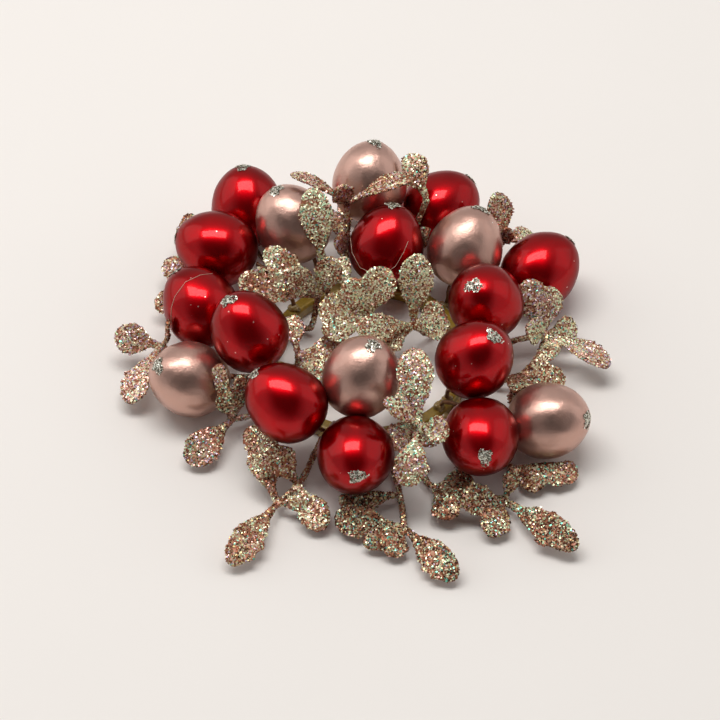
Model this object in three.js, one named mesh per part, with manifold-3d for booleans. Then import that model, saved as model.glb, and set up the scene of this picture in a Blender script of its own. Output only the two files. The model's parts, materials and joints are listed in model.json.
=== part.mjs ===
// A small table wreath of artificial mistletoe, lying flat. A gold plastic ring carries eighteen
// egg-shaped berries, each on its own short wire, and nineteen moulded sprigs of spoon-shaped leaves.
// Millimetres, +Z up. The arrangement is laid out around the ring's centre, and the finished group is
// shifted so that its origin is under the middle of the whole wreath, on the surface that it lies on.
import * as THREE from "three";
import { mergeVertices } from "three/addons/utils/BufferGeometryUtils.js";
import Module from "manifold-3d";

const wasm = await Module();
wasm.setup();

// Driving dimensions.
const RING = { inner: 21.8, outer: 25.2, height: 3.6, corner: 0.9, segments: 36 };
const BERRY = { length: 20.6, width: 18, egg: 0.1, sides: 12, rows: 8 };
const WIRE = { radius: 0.6, sides: 5, steps: 6 };
const STEM = { radius: 0.8, sides: 5, stepsPerSpan: 3 };
const LEAF = { middle: 1.0, petiole: 1.6, widestAt: 0.66, rows: 8, cup: 0.22, arch: 0.07, lowest: 1.2 };
const GAP = 0.3; // kept between pieces that touch
const LEAF_CLEARANCE = 1.0; // from a berry's surface to the middle of a leaf that lies against it

const vec = (x, y, z) => new THREE.Vector3(x, y, z);
const onCircle = (radius, degrees, height) => {
  const turn = THREE.MathUtils.degToRad(degrees);
  return vec(radius * Math.cos(turn), radius * Math.sin(turn), height);
};

const finish = (color, roughness, metalness) =>
  new THREE.MeshStandardMaterial({ color, roughness, metalness });
const materials = {
  red: finish(0x9b0414, 0.18, 0.25),
  rose: finish(0xb08f86, 0.35, 0.7),
  glitter: finish(0xa07a58, 0.45, 0.6),
  wire: finish(0x5a3a26, 0.5, 0.6),
  gold: finish(0x8a6a1c, 0.35, 0.5),
};

// Each berry's middle, and the way its blossom end points.
const berries = [
  { name: "rose_berry_back", kind: "rose", at: [0.5, 42.5, 20], tip: [0.05, 0.4, 0.92] },
  { name: "red_berry_back_left", kind: "red", at: [-29.8, 42.9, 10.5], tip: [-0.15, 0.52, 0.83] },
  { name: "rose_berry_back_left", kind: "rose", at: [-18.5, 30.5, 18], tip: [-0.46, 0.23, 0.86] },
  { name: "red_berry_left_back", kind: "red", at: [-37.2, 26, 14], tip: [-0.93, 0.28, 0.24] },
  { name: "red_berry_left", kind: "red", at: [-40.6, 7, 14], tip: [-0.6, 0.61, 0.51] },
  { name: "red_berry_left_inner", kind: "red", at: [-28.5, -7.5, 22], tip: [-0.45, 0.25, 0.86] },
  { name: "rose_berry_left", kind: "rose", at: [-43, -12.5, 10], tip: [-0.73, -0.23, 0.64] },
  { name: "red_berry_front_left", kind: "red", at: [-19.5, -27.8, 20], tip: [-0.76, 0.32, 0.56] },
  { name: "rose_berry_front", kind: "rose", at: [-1.5, -21.5, 22], tip: [0.24, 0.23, 0.94] },
  { name: "red_berry_front", kind: "red", at: [-3, -39.5, 14], tip: [0, -0.91, 0.43] },
  { name: "red_berry_front_right", kind: "red", at: [26.5, -34, 14], tip: [0.03, -0.9, 0.42] },
  { name: "red_berry_right_inner", kind: "red", at: [25.5, -16, 22], tip: [0.46, -0.08, 0.88] },
  { name: "red_berry_right", kind: "red", at: [28, 3.5, 20], tip: [-0.29, -0.34, 0.89] },
  { name: "red_berry_right_outer", kind: "red", at: [42.5, 21.8, 10.5], tip: [0.72, 0.5, 0.48] },
  { name: "rose_berry_back_right", kind: "rose", at: [24, 24.2, 16.3], tip: [0.36, 0.5, 0.79] },
  { name: "red_berry_back_right", kind: "red", at: [18.3, 42.5, 10.5], tip: [0.75, 0.55, 0.37] },
  { name: "red_berry_back", kind: "red", at: [4.7, 23.5, 18], tip: [0.25, 0.5, 0.83] },
  { name: "rose_berry_right", kind: "rose", at: [43, -25.5, 10], tip: [0.83, -0.3, 0.47] },
];

// Each sprig's stem leaves one side of the ring at an angle and runs through its joints. A leaf grows
// from the joint of that number and reaches to its tip. Its upper face looks along face, which is up
// and to the front where none is given.
const sprigs = [
  { name: "sprig_left", side: "outer", angle: 190, joints: [[-38, -4, 2], [-50, 2, 5]],
    leaves: [
      { joint: 1, to: [-61.5, 3, 8], width: 9 },
      { joint: 1, to: [-48, 0, 17], width: 6, face: [1, -0.4, 0.2] },
      { joint: 1, to: [-57.5, -15.5, 4], width: 9, face: [-0.3, -0.3, 0.9] },
    ] },
  { name: "sprig_left_front", side: "outer", angle: 213, joints: [[-32.5, -21, 5]],
    leaves: [
      { joint: 0, to: [-43, -32.5, 2.5], width: 9.5 },
      { joint: 0, to: [-35, -16, 20], width: 7, face: [-0.6, -0.7, 0.3] },
      { joint: 0, to: [-30.5, -20.5, 21], width: 6.5, face: [0.5, -0.8, 0.2] },
      { joint: 0, to: [-34, -19, 13], width: 7 },
    ] },
  { name: "sprig_front_left", side: "outer", angle: 246, joints: [[-16.5, -40, 4], [-21.5, -45, 3]],
    leaves: [
      { joint: 1, to: [-32.5, -63, 3], width: 9 },
      { joint: 0, to: [-10.5, -52.5, 2.5], width: 8.5 },
      { joint: 0, to: [-29, -27, 9], width: 8 },
      { joint: 1, to: [-27, -32, 8], width: 8, face: [0.2, -0.4, 0.9] },
      { joint: 0, to: [-23.5, -36, 14], width: 9, face: [0.2, -0.7, 0.6] },
      { joint: 1, to: [-13.5, -46, 5], width: 5 },
    ] },
  { name: "sprig_front", side: "outer", angle: 280, joints: [[7.5, -42, 3], [8.5, -52, 3]],
    leaves: [
      { joint: 1, to: [20.5, -67, 2.5], width: 9 },
      { joint: 1, to: [4.5, -60, 2.5], width: 8 },
      { joint: 1, to: [-8, -49.5, 3.5], width: 9 },
      { joint: 0, to: [-7, -45, 4], width: 8, face: [0, -0.7, 0.6] },
      { joint: 1, to: [-1, -57, 2.5], width: 6 },
    ] },
  { name: "sprig_front_right", side: "outer", angle: 292, joints: [[15.5, -40, 2.5], [32, -43, 2]],
    leaves: [
      { joint: 1, to: [49, -59, 4], width: 9 },
      { joint: 0, to: [20.5, -50, 4], width: 8.5 },
      { joint: 1, to: [21.5, -46.5, 7], width: 9 },
      { joint: 1, to: [28.5, -54.5, 2.5], width: 8.5 },
      { joint: 1, to: [34.5, -38.5, 9], width: 7, face: [0.4, -0.9, 0.2] },
      { joint: 0, to: [25, -37.5, 2.5], width: 8, face: [0, 0, 1] },
    ] },
  { name: "sprig_right_front", side: "outer", angle: 316, joints: [[34.5, -33.5, 2]],
    leaves: [
      { joint: 0, to: [50, -36, 2.5], width: 9, face: [0, -0.3, 1] },
      { joint: 0, to: [42, -39.5, 3], width: 8 },
    ] },
  { name: "sprig_right", side: "outer", angle: 4, joints: [[34, 3, 5], [42.5, 4, 7]],
    leaves: [
      { joint: 1, to: [58.5, -5.5, 6], width: 8, face: [0.5, -0.2, 0.8] },
      { joint: 1, to: [38.5, 11, 19.5], width: 9.5 },
      { joint: 1, to: [44, 11, 17], width: 8, face: [0.4, -0.6, 0.7] },
      { joint: 1, to: [51, 9, 4], width: 7 },
      { joint: 1, to: [38, -1.5, 16], width: 8 },
      { joint: 1, to: [45, -2.5, 6], width: 7 },
    ] },
  { name: "sprig_right_lower", side: "outer", angle: 346, joints: [[37, -8, 6]],
    leaves: [
      { joint: 0, to: [45.5, -4.5, 11], width: 5, face: [-0.4, -0.2, 0.8] },
      { joint: 0, to: [47.5, -12, 8], width: 8 },
      { joint: 0, to: [35.5, -20, 13], width: 8 },
      { joint: 0, to: [37, -17, 3], width: 8, face: [0, 0, 1] },
    ] },
  { name: "sprig_back_right", side: "outer", angle: 34, joints: [[33, 32, 9]],
    leaves: [
      { joint: 0, to: [31.5, 37, 22], width: 8, face: [0.3, -0.7, 0.6] },
      { joint: 0, to: [42, 38, 4], width: 8, face: [0, 0, 1] },
      { joint: 0, to: [34.5, 28, 19], width: 6 },
    ] },
  { name: "sprig_back_outer", side: "outer", angle: 58, joints: [[11, 31, 9], [14.5, 36, 20.5]],
    leaves: [
      { joint: 1, to: [9.5, 45, 27], width: 9 },
      { joint: 0, to: [16, 28, 18], width: 6 },
    ] },
  { name: "sprig_back", side: "outer", angle: 101, joints: [[-5, 28, 12], [-5, 33, 22]],
    leaves: [
      { joint: 1, to: [11, 34.5, 30], width: 7, face: [0, 0.1, 1] },
      { joint: 1, to: [-19, 37, 28.5], width: 6, face: [0.2, 0.3, 0.9] },
      { joint: 1, to: [-7, 31, 31], width: 7 },
      { joint: 0, to: [-7.5, 38, 13], width: 7 },
      { joint: 0, to: [-8, 23, 20], width: 7 },
    ] },
  { name: "sprig_back_low", side: "outer", angle: 84, joints: [[5, 45, 2.5]],
    leaves: [
      { joint: 0, to: [3, 57.5, 3.5], width: 9 },
      { joint: 0, to: [15, 56, 3], width: 9 },
      { joint: 0, to: [-7.5, 51, 3], width: 8 },
    ] },
  { name: "sprig_back_left", side: "outer", angle: 107, joints: [[-13.5, 39, 2.5]],
    leaves: [
      { joint: 0, to: [-18, 53, 3], width: 9 },
      { joint: 0, to: [-8, 47, 4], width: 7 },
      { joint: 0, to: [-22.5, 40, 14], width: 7 },
    ] },
  { name: "sprig_back_inner", side: "inner", angle: 122, joints: [[-11, 19, 15]],
    leaves: [
      { joint: 0, to: [-13.5, 31, 30.5], width: 9 },
      { joint: 0, to: [-4, 16, 16], width: 8 },
    ] },
  { name: "sprig_centre_left", side: "inner", angle: 146, joints: [[-12, 11, 13]],
    leaves: [
      { joint: 0, to: [-25, 18.5, 22], width: 8 },
      { joint: 0, to: [-31.5, 11.5, 18], width: 10 },
      { joint: 0, to: [-20, 9, 25], width: 8 },
      { joint: 0, to: [-8, 14, 24], width: 8 },
    ] },
  { name: "sprig_centre", side: "inner", angle: 30, joints: [[11, 4, 10], [0, 4, 13]],
    leaves: [
      { joint: 0, to: [12, 13.5, 26], width: 9.5 },
      { joint: 0, to: [20, 1, 17], width: 11 },
      { joint: 0, to: [-3, -2, 16], width: 8 },
      { joint: 0, to: [2, -1, 9], width: 9 },
      { joint: 1, to: [-12, 4, 17], width: 10 },
      { joint: 1, to: [4, 11, 24], width: 10 },
      { joint: 1, to: [-5, 9, 22], width: 8 },
      { joint: 1, to: [-11, -1, 13.5], width: 8 },
    ] },
  { name: "sprig_centre_front", side: "inner", angle: 186, joints: [[-17, -3, 8]],
    leaves: [
      { joint: 0, to: [-9, -11, 10], width: 9.5 },
      { joint: 0, to: [-18.5, 5, 13], width: 6.5 },
      { joint: 0, to: [-4, -1, 8], width: 9 },
    ] },
  { name: "sprig_front_inner", side: "inner", angle: 300, joints: [[11, -24, 9], [12, -35, 19]],
    leaves: [
      { joint: 1, to: [10.5, -20, 30.5], width: 10 },
      { joint: 1, to: [19, -38.5, 22], width: 8 },
      { joint: 1, to: [8.5, -47, 12], width: 9.5, face: [0, -0.8, 0.5] },
      { joint: 1, to: [3.5, -34, 28], width: 6, face: [0.8, -0.3, 0.4] },
      { joint: 0, to: [5, -34, 10], width: 8 },
      { joint: 0, to: [16, -33, 10], width: 7 },
      { joint: 0, to: [8, -11, 7.5], width: 8, face: [0, 0, 1] },
    ] },
  { name: "sprig_left_back", side: "outer", angle: 156, joints: [[-45, 20.5, 3]],
    leaves: [
      { joint: 0, to: [-44, 41, 10], width: 7 },
      { joint: 0, to: [-49, 29, 7], width: 7 },
      { joint: 0, to: [-52, 14, 5], width: 7 },
    ] },
];

// A closed mesh from rows of points, each row a loop, with a point closing either end.
function loft(start, rows, end) {
  const sides = rows[0].length;
  const points = [start, ...rows.flat(), end];
  const at = (row, side) => 1 + row * sides + (side % sides);
  const faces = [];
  for (let side = 0; side < sides; side++) {
    faces.push(0, at(0, side + 1), at(0, side));
    for (let row = 0; row + 1 < rows.length; row++) {
      faces.push(at(row, side), at(row, side + 1), at(row + 1, side + 1));
      faces.push(at(row, side), at(row + 1, side + 1), at(row + 1, side));
    }
    faces.push(points.length - 1, at(rows.length - 1, side), at(rows.length - 1, side + 1));
  }
  const geometry = new THREE.BufferGeometry().setFromPoints(points);
  return geometry.setIndex(faces);
}

// A rod of round section along a curve.
function rod(curve, radius, sides, steps) {
  const outline = new THREE.Shape();
  for (let side = 0; side < sides; side++) {
    const turn = (2 * Math.PI * side) / sides;
    const [x, y] = [radius * Math.cos(turn), radius * Math.sin(turn)];
    if (side) outline.lineTo(x, y);
    else outline.moveTo(x, y);
  }
  outline.closePath();
  return new THREE.ExtrudeGeometry(outline, { extrudePath: curve, steps, bevelEnabled: false });
}

function toSolid(geometry) {
  const bare = (geometry.index ? geometry.toNonIndexed() : geometry).clone();
  for (const attribute of Object.keys(bare.attributes)) {
    if (attribute !== "position") bare.deleteAttribute(attribute);
  }
  const merged = mergeVertices(bare, 1e-3);
  return new wasm.Manifold(
    new wasm.Mesh({
      numProp: 3,
      vertProperties: merged.attributes.position.array,
      triVerts: new Uint32Array(merged.index.array),
    }),
  );
}

function toGeometry(solid) {
  const mesh = solid.getMesh();
  return new THREE.BufferGeometry()
    .setAttribute("position", new THREE.BufferAttribute(new Float32Array(mesh.vertProperties), 3))
    .setIndex(new THREE.BufferAttribute(new Uint32Array(mesh.triVerts), 1));
}

function namedMesh(name, geometry, material) {
  const mesh = new THREE.Mesh(geometry, material);
  mesh.name = name;
  return mesh;
}

// The ring is a band with a flat underside and rounded upper edges.
function baseRing() {
  const { inner, outer, height, corner, segments } = RING;
  const section = new THREE.Path();
  section.moveTo(outer, 0);
  section.lineTo(outer, height - corner);
  section.absarc(outer - corner, height - corner, corner, 0, Math.PI / 2, false);
  section.absarc(inner + corner, height - corner, corner, Math.PI / 2, Math.PI, false);
  section.lineTo(inner, 0);
  section.closePath();
  const profile = section.getPoints(2);
  const geometry = new THREE.LatheGeometry(profile, segments).rotateX(Math.PI / 2);
  return namedMesh("base_ring", geometry, materials.gold);
}

// A berry is an egg, fuller towards its wire, with its blossom end along its local +Y.
function berryProfile() {
  const profile = [];
  for (let row = 0; row <= BERRY.rows; row++) {
    const turn = (Math.PI * row) / BERRY.rows;
    const radius = (BERRY.width / 2) * Math.sin(turn) * (1 + BERRY.egg * Math.cos(turn));
    profile.push(new THREE.Vector2(Math.max(radius, 0), (-BERRY.length / 2) * Math.cos(turn)));
  }
  profile[0].x = 0;
  profile[BERRY.rows].x = 0;
  return profile;
}

function berryTurn({ tip }) {
  return new THREE.Quaternion().setFromUnitVectors(vec(0, 1, 0), vec(...tip).normalize());
}

function berryMesh(berry) {
  const geometry = new THREE.LatheGeometry(berryProfile(), BERRY.sides);
  const mesh = namedMesh(berry.name, geometry, materials[berry.kind]);
  mesh.position.set(...berry.at);
  mesh.quaternion.copy(berryTurn(berry));
  return mesh;
}

// A berry's wire leaves its blunt end and bends to the ring: to its outer side from a low berry, and
// to its top from a high one.
function berryWire(berry) {
  const down = vec(...berry.tip).normalize().negate();
  const start = vec(...berry.at).addScaledVector(down, BERRY.length / 2 + GAP);
  const angle = THREE.MathUtils.radToDeg(Math.atan2(start.y, start.x));
  const low = start.z < 2.5 * RING.height && Math.hypot(start.x, start.y) > RING.outer + 2;
  const floor = WIRE.radius + GAP;
  const end = low
    ? onCircle(RING.outer + GAP, angle, RING.height / 2)
    : onCircle((RING.inner + RING.outer) / 2, angle, RING.height + GAP);
  const reach = start.distanceTo(end) / 3;
  const leave = start.clone().addScaledVector(down, reach);
  const arrive = low
    ? onCircle(RING.outer + GAP + reach, angle, RING.height / 2)
    : end.clone().setZ(end.z + reach);
  for (const point of [leave, arrive]) point.z = Math.max(point.z, floor);
  const route = new THREE.CubicBezierCurve3(start, leave, arrive, end);
  const name = berry.name.replace("berry", "berry_wire");
  return namedMesh(name, rod(route, WIRE.radius, WIRE.sides, WIRE.steps), materials.wire);
}

// Moves a point out of any berry that it would lie in, to its surface and a clearance more.
function clearOfBerries(point) {
  for (const berry of berries) {
    const turn = berryTurn(berry);
    const local = point.clone().sub(vec(...berry.at)).applyQuaternion(turn.clone().invert());
    const half = vec(BERRY.width / 2, BERRY.length / 2, BERRY.width / 2).addScalar(LEAF_CLEARANCE);
    const depth = local.clone().divide(half).length();
    if (depth >= 1) continue;
    point.copy(local.divideScalar(depth).applyQuaternion(turn).add(vec(...berry.at)));
  }
  return point;
}

// A leaf is a thin spoon: a narrow stalk that widens to a rounded blade, cupped across its width and
// arched along its length.
function leafSolid(from, { to, width, face = [0, -0.6, 0.8] }) {
  const along = vec(...to).sub(from);
  const length = along.length();
  along.normalize();
  const across = vec(...face).cross(along).normalize();
  const normal = along.clone().cross(across);
  const widest = LEAF.widestAt;
  const halfWidth = (t) =>
    (width / 2) *
    (t < widest
      ? Math.sin((Math.PI / 2) * Math.max(t / widest, 0) ** 1.5) ** 1.2
      : Math.sqrt(1 - ((t - widest) / (1 - widest)) ** 2));
  const place = (t, side) => {
    const half = Math.max(halfWidth(t), t < 0.5 ? LEAF.petiole / 2 : 0);
    const lift = LEAF.cup * half * side * side - LEAF.arch * length * (2 * t - 1) ** 2;
    const middle = from.clone().addScaledVector(along, length * t);
    middle.addScaledVector(across, half * side).addScaledVector(normal, lift + LEAF.arch * length);
    clearOfBerries(middle);
    return middle.setZ(Math.max(middle.z, LEAF.lowest));
  };
  const rows = [];
  for (let row = 0; row < LEAF.rows; row++) {
    const t = 0.98 * Math.sin((Math.PI / 2) * ((row + 0.15) / (LEAF.rows - 0.85)));
    const loop = [
      [-1, 0],
      [-0.5, -LEAF.middle / 2],
      [0.5, -LEAF.middle / 2],
      [1, 0],
      [0.5, LEAF.middle / 2],
      [-0.5, LEAF.middle / 2],
    ].map(([side, offset]) => place(t, side).addScaledVector(normal, offset));
    rows.push(loop);
  }
  return toSolid(loft(place(-0.02, 0), rows, place(1, 0)));
}

function sprigMesh(sprig) {
  const radius = sprig.side === "outer" ? RING.outer + GAP : RING.inner - GAP;
  const outward = sprig.side === "outer" ? 4 : -4;
  const height = RING.height / 2;
  const joints = sprig.joints.map((joint) => vec(...joint));
  const root = onCircle(radius, sprig.angle, height);
  const bend = onCircle(radius + outward, sprig.angle, height);
  const route = new THREE.CatmullRomCurve3([root, bend, ...joints], false, "centripetal");
  const steps = STEM.stepsPerSpan * (joints.length + 1);
  let solid = toSolid(rod(route, STEM.radius, STEM.sides, steps));
  for (const leaf of sprig.leaves) solid = solid.add(leafSolid(joints[leaf.joint], leaf));
  return namedMesh(sprig.name, toGeometry(solid), materials.glitter);
}

const wreath = new THREE.Group();
wreath.add(baseRing());
for (const berry of berries) wreath.add(berryMesh(berry), berryWire(berry));
for (const sprig of sprigs) wreath.add(sprigMesh(sprig));

const bounds = new THREE.Box3().setFromObject(wreath, true);
const middle = bounds.getCenter(new THREE.Vector3());
wreath.position.set(-middle.x, -middle.y, -bounds.min.z);

export default wreath;
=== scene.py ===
"""A small table wreath of artificial mistletoe: lacquered egg-shaped berries with a dab of silver
glitter on each tip, and moulded sprigs of spoon-shaped leaves under coloured glitter, glued round a
gold ring."""

import json
import math

import bpy
import numpy as np
from bpy.props import FloatProperty, FloatVectorProperty, IntProperty, PointerProperty
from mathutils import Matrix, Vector

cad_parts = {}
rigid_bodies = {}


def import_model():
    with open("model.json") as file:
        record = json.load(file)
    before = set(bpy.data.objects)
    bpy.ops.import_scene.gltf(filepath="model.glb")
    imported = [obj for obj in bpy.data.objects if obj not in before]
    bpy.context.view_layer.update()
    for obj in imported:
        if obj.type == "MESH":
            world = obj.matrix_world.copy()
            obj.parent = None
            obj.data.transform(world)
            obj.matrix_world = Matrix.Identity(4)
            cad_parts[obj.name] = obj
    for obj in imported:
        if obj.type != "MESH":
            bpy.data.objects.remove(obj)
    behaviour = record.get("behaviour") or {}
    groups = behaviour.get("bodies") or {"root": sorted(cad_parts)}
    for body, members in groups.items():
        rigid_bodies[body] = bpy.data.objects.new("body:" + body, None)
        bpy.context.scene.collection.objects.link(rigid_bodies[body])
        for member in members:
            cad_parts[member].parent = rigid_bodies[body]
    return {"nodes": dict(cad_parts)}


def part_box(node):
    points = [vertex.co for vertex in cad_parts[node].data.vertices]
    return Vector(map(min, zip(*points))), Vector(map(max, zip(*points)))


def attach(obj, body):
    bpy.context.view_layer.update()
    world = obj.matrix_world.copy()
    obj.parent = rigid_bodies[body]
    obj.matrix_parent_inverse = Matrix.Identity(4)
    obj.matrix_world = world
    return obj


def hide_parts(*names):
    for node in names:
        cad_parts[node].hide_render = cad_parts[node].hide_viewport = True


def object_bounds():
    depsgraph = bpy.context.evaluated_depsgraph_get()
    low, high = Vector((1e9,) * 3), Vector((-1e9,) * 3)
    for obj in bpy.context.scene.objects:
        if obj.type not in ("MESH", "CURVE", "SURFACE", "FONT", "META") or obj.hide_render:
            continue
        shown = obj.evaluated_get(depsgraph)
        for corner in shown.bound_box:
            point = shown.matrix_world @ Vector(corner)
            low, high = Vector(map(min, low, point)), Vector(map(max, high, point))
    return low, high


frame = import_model()
CAD_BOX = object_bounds()

bl_info = {
    "name": "Mistletoe wreath",
    "version": (1, 0, 0),
    "blender": (4, 5, 0),
    "location": "3D View > Sidebar > Wreath",
    "description": "Builds the berries, the glittered sprigs, the ring and the stage of a table wreath",
    "category": "Object",
}

MM = 0.001
NODES = list(frame["nodes"])
RING_NODE = "base_ring"
WIRE_NODES = [name for name in NODES if "_wire_" in name]
SPRIG_NODES = [name for name in NODES if name.startswith("sprig_")]
RED_NODES = [name for name in NODES if name.startswith("red_berry_") and name not in WIRE_NODES]
ROSE_NODES = [name for name in NODES if name.startswith("rose_berry_") and name not in WIRE_NODES]

# The kinds of glitter, from the palest to the darkest.
GLITTER = ("cream", "mint", "aqua", "lilac", "pink", "gold", "copper", "shade")
# The share of each kind of grain in each tint of glitter.
TINTS = {
    # The pale tint is painted light, given to the sprigs in the middle.
    "pale": (66, 16, 4, 2, 4, 6, 2, 0),
    "bright": (50, 16, 6, 4, 5, 7, 7, 5),
    "mint": (42, 28, 9, 2, 2, 3, 7, 7),
    "pink": (22, 3, 2, 19, 34, 3, 12, 5),
    "copper": (10, 3, 2, 3, 15, 10, 40, 17),
    "green": (17, 12, 10, 3, 3, 8, 17, 30),
    # The dark tint is painted shade, given to the front sprigs.
    "dark": (7, 5, 6, 1, 2, 8, 25, 46),
    # The stem tint is the bare copper of the stems, and is also painted shade on the leaves' undersides.
    "stem": (4, 1, 1, 1, 10, 8, 50, 25),
}
# The two tints that each sprig's glitter changes between, in patches.
SPRIG_TINTS = {
    "sprig_left": ("pink", "pink"),
    "sprig_left_front": ("green", "pink"),
    "sprig_front_left": ("bright", "copper"),
    # The two front sprigs take the dark tint: painted shade.
    "sprig_front": ("dark", "green"),
    "sprig_front_right": ("dark", "green"),
    "sprig_right_front": ("copper", "green"),
    "sprig_right": ("pink", "bright"),
    "sprig_right_lower": ("copper", "bright"),
    "sprig_back_right": ("bright", "pink"),
    "sprig_back_outer": ("bright", "copper"),
    "sprig_back": ("copper", "pink"),
    "sprig_back_low": ("green", "copper"),
    "sprig_back_left": ("pink", "green"),
    # The three sprigs in the middle take the pale tint: painted light.
    "sprig_back_inner": ("pale", "mint"),
    "sprig_centre_left": ("pale", "copper"),
    "sprig_centre": ("pale", "bright"),
    "sprig_centre_front": ("pink", "bright"),
    "sprig_front_inner": ("mint", "pink"),
    "sprig_left_back": ("pink", "copper"),
}
# The angle that the camera looks down at.
VIEW_ELEVATION = math.radians(50)
# Fine strings of glue that lie on a berry: points to the right of its middle and above it, as the
# camera sees them, as shares of its half width.
GLUE_STRINGS = {
    "red_berry_left": (
        (-0.77, -0.38),
        (-0.76, 0.0),
        (-0.66, 0.3),
        (-0.39, 0.67),
        (0.0, 0.86),
        (0.3, 0.9),
    ),
    "red_berry_back": (
        (-0.93, 0.2),
        (-0.88, -0.2),
        (-0.68, -0.58),
        (-0.35, -0.74),
        (0.0, -0.73),
        (0.25, -0.55),
        (0.46, -0.19),
        (0.58, 0.1),
    ),
}
GLUE_RADIUS = 1.25 * MM
STRING_RADIUS = 0.05 * MM
RING_ROUNDING = 0.9 * MM

# The size of the cells that a sprig and a wire are remeshed in.
SPRIG_VOXEL = 0.36 * MM
WIRE_VOXEL = 0.2 * MM
# How many square millimetres of a sprig's surface are close to a place on a stem and on a leaf.
STEM_SURFACE = 38
LEAF_SURFACE = 73

# Where the random draws of each kind of piece start, and how far apart its pieces' draws are.
DAB_SEED = 100
GLITTER_SEED = 1000
GLUE_SEED = 5000
SEED_STEP = 10


# ---------------------------------------------------------------- selecting and applying


def deselect():
    if bpy.context.object and bpy.context.object.mode != "OBJECT":
        bpy.ops.object.mode_set(mode="OBJECT")
    bpy.ops.object.select_all(action="DESELECT")


def activate(piece):
    deselect()
    piece.select_set(True)
    bpy.context.view_layer.objects.active = piece


def apply_modifier(piece, kind, **settings):
    """Adds a modifier with these settings and applies it."""
    activate(piece)
    modifier = piece.modifiers.new(kind.lower(), kind)
    for setting, value in settings.items():
        setattr(modifier, setting, value)
    bpy.ops.object.modifier_apply(modifier=modifier.name)


def settle(piece):
    """Puts a piece's place, turn and scale into its mesh."""
    activate(piece)
    bpy.ops.object.transform_apply(location=True, rotation=True, scale=True)


def smooth(piece):
    activate(piece)
    bpy.ops.object.shade_smooth()


def clouds(size):
    """A soft noise for the Displace modifier, with lumps of this size in metres."""
    texture = bpy.data.textures.new("lumps", "CLOUDS")
    texture.noise_scale = size
    texture.noise_depth = 1
    return texture


def roughen(piece, size, height):
    apply_modifier(
        piece,
        "DISPLACE",
        texture=clouds(size),
        texture_coords="GLOBAL",
        strength=height,
        mid_level=0.5,
    )


def finish(piece, name, materials, node=None):
    """Names a piece, gives it its materials and ties it to the frame."""
    piece.name = name
    piece.data.name = name
    piece.data.materials.clear()
    for material in materials:
        piece.data.materials.append(material)
    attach(piece, "root")
    if node:
        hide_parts(node)
    return piece


def node_points(node):
    mesh = frame["nodes"][node].data
    points = np.empty(len(mesh.vertices) * 3)
    mesh.vertices.foreach_get("co", points)
    return points.reshape(-1, 3)


def node_copy(node):
    """A copy of a node's mesh with its loose triangles joined."""
    piece = bpy.data.objects.new(node, frame["nodes"][node].data.copy())
    bpy.context.scene.collection.objects.link(piece)
    activate(piece)
    bpy.ops.object.mode_set(mode="EDIT")
    bpy.ops.mesh.select_all(action="SELECT")
    bpy.ops.mesh.remove_doubles(threshold=0.002 * MM)
    bpy.ops.object.mode_set(mode="OBJECT")
    return piece


def mesh_points(piece):
    points = np.empty(len(piece.data.vertices) * 3)
    piece.data.vertices.foreach_get("co", points)
    return points.reshape(-1, 3)


# ---------------------------------------------------------------- shader groups


def new_group(name, inputs, outputs):
    group = bpy.data.node_groups.new(name, "ShaderNodeTree")
    for label, kind, value in inputs:
        socket = group.interface.new_socket(label, in_out="INPUT", socket_type=kind)
        if value is not None:
            socket.default_value = value
    for label, kind in outputs:
        group.interface.new_socket(label, in_out="OUTPUT", socket_type=kind)
    return group, group.nodes.new("NodeGroupInput"), group.nodes.new("NodeGroupOutput")


def math_node(tree, operation, first, second=None, clamp=False):
    node = tree.nodes.new("ShaderNodeMath")
    node.operation = operation
    node.use_clamp = clamp
    for socket, value in zip(node.inputs, (first, second)):
        if value is None:
            continue
        if isinstance(value, (int, float)):
            socket.default_value = value
        else:
            tree.links.new(value, socket)
    return node.outputs[0]


def mix_colour(tree, factor, first, second):
    node = tree.nodes.new("ShaderNodeMix")
    node.data_type = "RGBA"
    sockets = (node.inputs[0], node.inputs[6], node.inputs[7])
    for socket, value in zip(sockets, (factor, first, second)):
        if hasattr(value, "is_output"):
            tree.links.new(value, socket)
        elif isinstance(value, (int, float)):
            socket.default_value = value
        else:
            socket.default_value = (*value[:3], 1)
    return node.outputs[2]


def object_position(tree):
    return tree.nodes.new("ShaderNodeTexCoord").outputs["Object"]


def noise_value(tree, scale, detail=2.0):
    """Noise over the piece. The scale is in lumps for each metre, or a socket that gives it."""
    node = tree.nodes.new("ShaderNodeTexNoise")
    tree.links.new(object_position(tree), node.inputs["Vector"])
    if isinstance(scale, (int, float)):
        node.inputs["Scale"].default_value = scale
    else:
        tree.links.new(scale, node.inputs["Scale"])
    node.inputs["Detail"].default_value = detail
    return node.outputs["Fac"]


def dust_group():
    """Small pale specks: a mask that is 1 on a few scattered dots."""
    group, given, result = new_group(
        "dust_specks",
        [
            ("Specks per metre", "NodeSocketFloat", 300.0),
            ("Dot size", "NodeSocketFloat", 0.05),
            ("Share", "NodeSocketFloat", 0.3),
        ],
        [("Mask", "NodeSocketFloat")],
    )
    cells = group.nodes.new("ShaderNodeTexVoronoi")
    group.links.new(object_position(group), cells.inputs["Vector"])
    group.links.new(given.outputs["Specks per metre"], cells.inputs["Scale"])
    dot = math_node(group, "LESS_THAN", cells.outputs["Distance"], given.outputs["Dot size"])
    chance = group.nodes.new("ShaderNodeSeparateColor")
    group.links.new(cells.outputs["Color"], chance.inputs[0])
    chosen = math_node(group, "LESS_THAN", chance.outputs[0], given.outputs["Share"])
    mask = math_node(group, "MULTIPLY", dot, chosen)
    group.links.new(mask, result.inputs["Mask"])
    return group


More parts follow.
